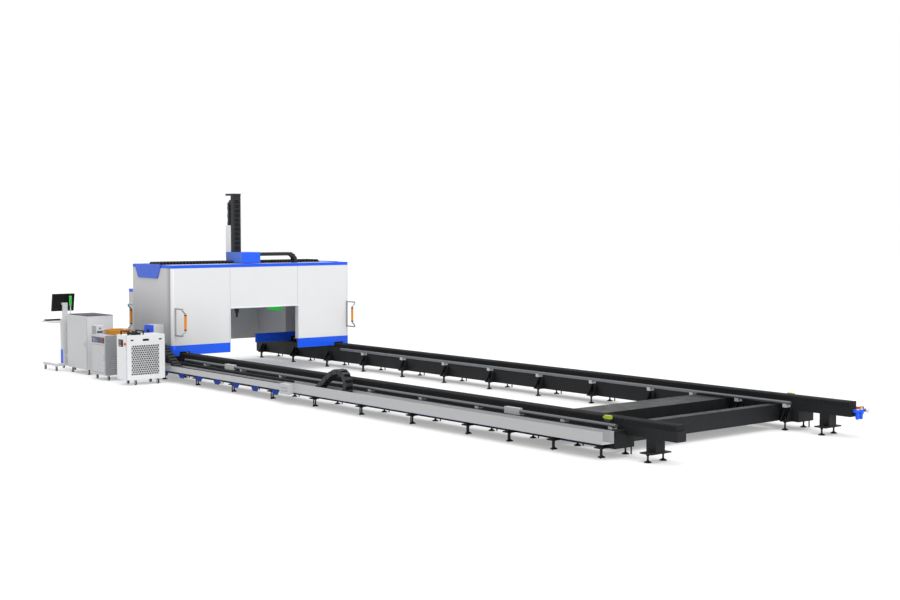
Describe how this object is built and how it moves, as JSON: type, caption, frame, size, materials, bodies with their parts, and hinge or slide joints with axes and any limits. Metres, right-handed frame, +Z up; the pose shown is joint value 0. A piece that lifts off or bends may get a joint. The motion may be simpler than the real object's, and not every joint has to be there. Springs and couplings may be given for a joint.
{
  "type": "structural steel laser cutting machine",
  "caption": "Gantry laser cutting machine for structural steel: a cabin on a long railed bed, with a stand, cabinet, laser source and chiller beside it.",
  "frame": {"origin": "middle of the machine's box on the floor", "axes": "+X along the bed to its free end, +Y across the bed away from the standing units, +Z up"},
  "size_m": [15.56, 5.205, 3.45],
  "materials": {
    "bed_paint": "satin",
    "black_steel": "matt",
    "bright_steel": "ground",
    "black_bellows": "matt",
    "black_plastic": "matt",
    "grey_paint": "satin",
    "light_grey_paint": "satin",
    "white_paint": "satin",
    "blue_paint": "satin",
    "stop_paint": "satin",
    "orange_plastic": "satin",
    "green_pane": "clear",
    "green_lamp": "gloss",
    "red_plastic": "gloss",
    "fibre_jacket": "satin",
    "castor_parts": "matt"
  },
  "bodies": {
    "bed": {"bed_beams": "bed_paint", "seat_lugs": "bed_paint", "end_frame": "bed_paint", "end_beams": "bed_paint", "levelling_feet": "black_steel", "anchor_rods": "black_steel", "guide_rails": "bright_steel", "gear_racks": "bright_steel", "front_bellows": "black_bellows", "rear_bellows": "black_bellows", "gas_tubes": "grey_paint", "tube_blocks": "light_grey_paint", "rear_tray": "light_grey_paint", "front_tray": "light_grey_paint", "tray_brackets": "blue_paint", "travel_stops": "stop_paint", "air_unit": "blue_paint", "lower_chain_run": "black_plastic", "control_stand": "light_grey_paint", "keyboard": "black_plastic", "signal_lamp": "green_lamp", "power_cabinet": "light_grey_paint", "laser_source": "light_grey_paint", "fibre_box": "grey_paint", "fibre_coil": "fibre_jacket", "chiller": "white_paint", "chiller_grille": "white_paint", "chiller_handles": "black_plastic", "casters": "castor_parts"},
    "gantry": {"gantry_saddles": "grey_paint", "gantry_beam": "grey_paint", "side_walls": "light_grey_paint", "front_panels": "white_paint", "roof": "light_grey_paint", "top_trim": "blue_paint", "skirt": "blue_paint", "side_badges": "blue_paint", "rear_hood": "light_grey_paint", "hood_windows": "green_pane", "guard_brackets": "grey_paint", "guard_bars": "orange_plastic", "drive_box": "light_grey_paint", "upper_chain_run": "black_plastic", "roof_bellows": "black_bellows", "cross_lower_run": "black_plastic"},
    "chain_loop": {"chain_loop": "black_plastic"},
    "carriage": {"carriage": "white_paint", "carriage_cover": "blue_paint", "cross_upper_run": "black_plastic", "lift_fixed_run": "black_plastic"},
    "cross_loop": {"cross_loop": "black_plastic"},
    "ram": {"ram": "black_steel", "lift_moving_run": "black_plastic"},
    "lift_loop": {"lift_loop": "black_plastic"},
    "turn_unit": {"turn_unit": "black_steel"},
    "cutting_head": {"cutting_head": "black_steel"},
    "monitor": {"monitor": "black_plastic"},
    "cabinet_door": {"cabinet_door": "light_grey_paint"},
    "stop_button": {"stop_button": "red_plastic"},
    "chiller_switch": {"chiller_switch": "red_plastic"}
  },
  "joints": [
    {"name": "gantry_travel", "type": "slide", "parent": "bed", "child": "gantry", "axis": [1, 0, 0], "range_m": [0, 10.6], "deforming": ["front_bellows", "rear_bellows", "lower_chain_run", "upper_chain_run"]},
    {"name": "chain_loop_travel", "type": "slide", "parent": "bed", "child": "chain_loop", "axis": [1, 0, 0], "range_m": [0, 5.3]},
    {"name": "cross_travel", "type": "slide", "parent": "gantry", "child": "carriage", "axis": [0, 1, 0], "range_m": [-0.75, 0.75], "deforming": ["roof_bellows", "cross_upper_run", "cross_lower_run"]},
    {"name": "cross_loop_travel", "type": "slide", "parent": "gantry", "child": "cross_loop", "axis": [0, 1, 0], "range_m": [-0.375, 0.375]},
    {"name": "head_lift", "type": "slide", "parent": "carriage", "child": "ram", "axis": [0, 0, 1], "range_m": [-0.12, 0.25], "deforming": ["lift_fixed_run", "lift_moving_run"]},
    {"name": "lift_loop_travel", "type": "slide", "parent": "carriage", "child": "lift_loop", "axis": [0, 0, 1], "range_m": [-0.06, 0.125]},
    {"name": "head_turn", "type": "hinge", "parent": "ram", "child": "turn_unit", "pos_m": [-5.2675, 0.418, 1.56], "axis": [0, 0, 1], "range_deg": [-180, 180]},
    {"name": "head_tilt", "type": "hinge", "parent": "turn_unit", "child": "cutting_head", "pos_m": [-5.2675, 0.418, 1.3], "axis": [1, 0, 0], "range_deg": [-100, 100]},
    {"name": "monitor_tilt", "type": "hinge", "parent": "bed", "child": "monitor", "pos_m": [-7.228, -2.2975, 1.305], "axis": [0, 1, 0], "range_deg": [-15, 15]},
    {"name": "door_swing", "type": "hinge", "parent": "bed", "child": "cabinet_door", "pos_m": [-6.959, -2.3485, 0.6], "axis": [0, 0, 1], "range_deg": [-110, 0]},
    {"name": "stop_press", "type": "slide", "parent": "bed", "child": "stop_button", "axis": [0, 1, 0], "range_m": [0, 0.006]},
    {"name": "switch_turn", "type": "hinge", "parent": "bed", "child": "chiller_switch", "pos_m": [-4.03, -2.5678, 0.74], "axis": [0, 1, 0], "range_deg": [0, 90]}
  ],
  "couplings": [
    {"joint": "chain_loop_travel", "follows": "gantry_travel", "ratio": 0.5},
    {"joint": "cross_loop_travel", "follows": "cross_travel", "ratio": 0.5},
    {"joint": "lift_loop_travel", "follows": "head_lift", "ratio": 0.5}
  ]
}
